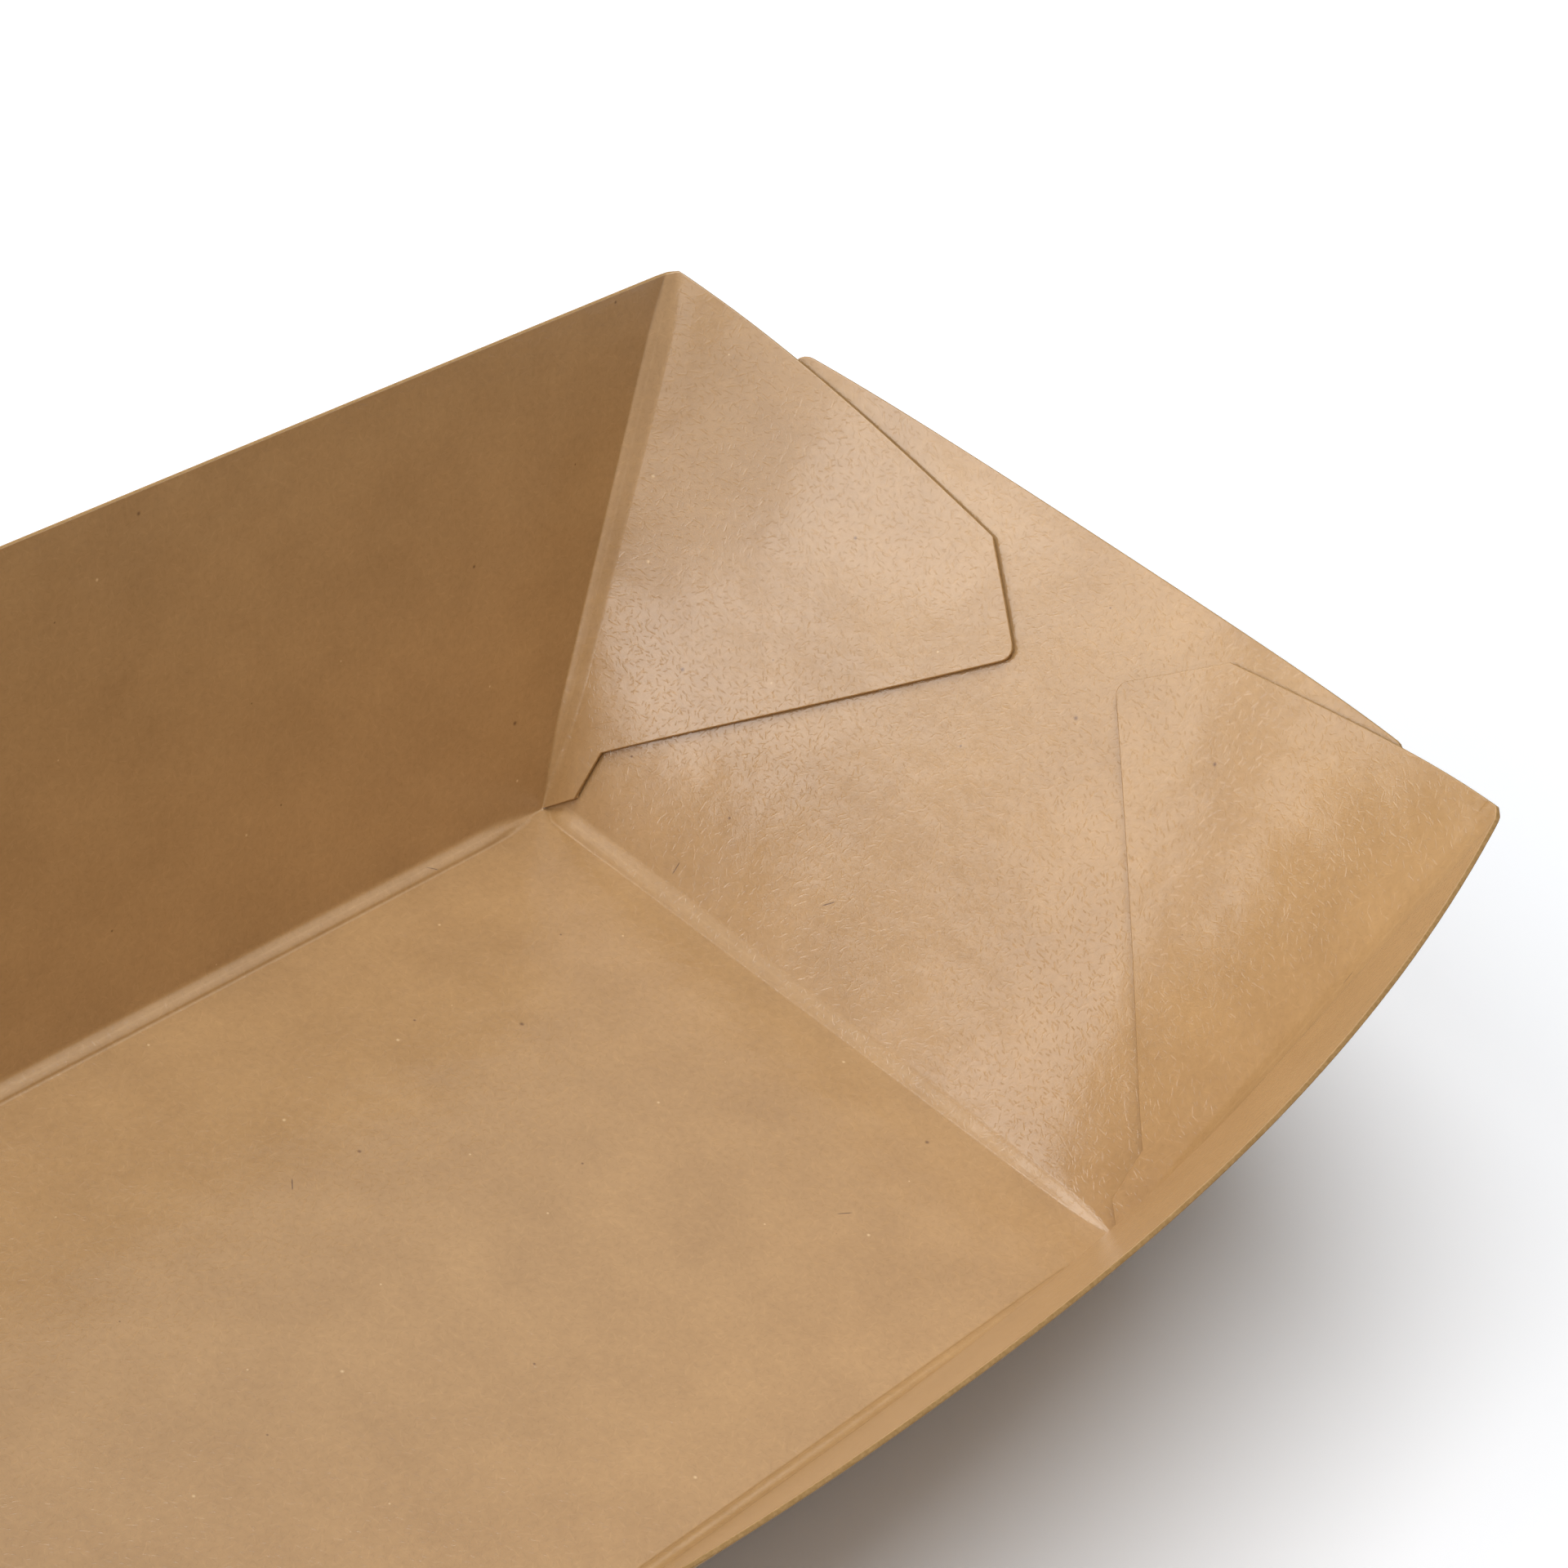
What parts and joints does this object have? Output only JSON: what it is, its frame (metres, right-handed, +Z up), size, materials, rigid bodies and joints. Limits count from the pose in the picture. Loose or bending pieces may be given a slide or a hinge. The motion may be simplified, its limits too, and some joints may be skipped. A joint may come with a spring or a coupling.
{
  "type": "snack tray",
  "caption": "Open rectangular food tray folded from one sheet of kraft board, with sloping walls and glued corner flaps inside its ends.",
  "frame": {"origin": "middle of the underside of the base", "axes": "+X along the tray's length, +Y across it towards the straight long wall, +Z up out of its open top"},
  "size_m": [0.1778, 0.1029, 0.0464],
  "materials": {
    "kraft_board": "satin coating on natural brown kraft"
  },
  "bodies": {
    "root": {"tray": "kraft_board"}
  },
  "joints": []
}
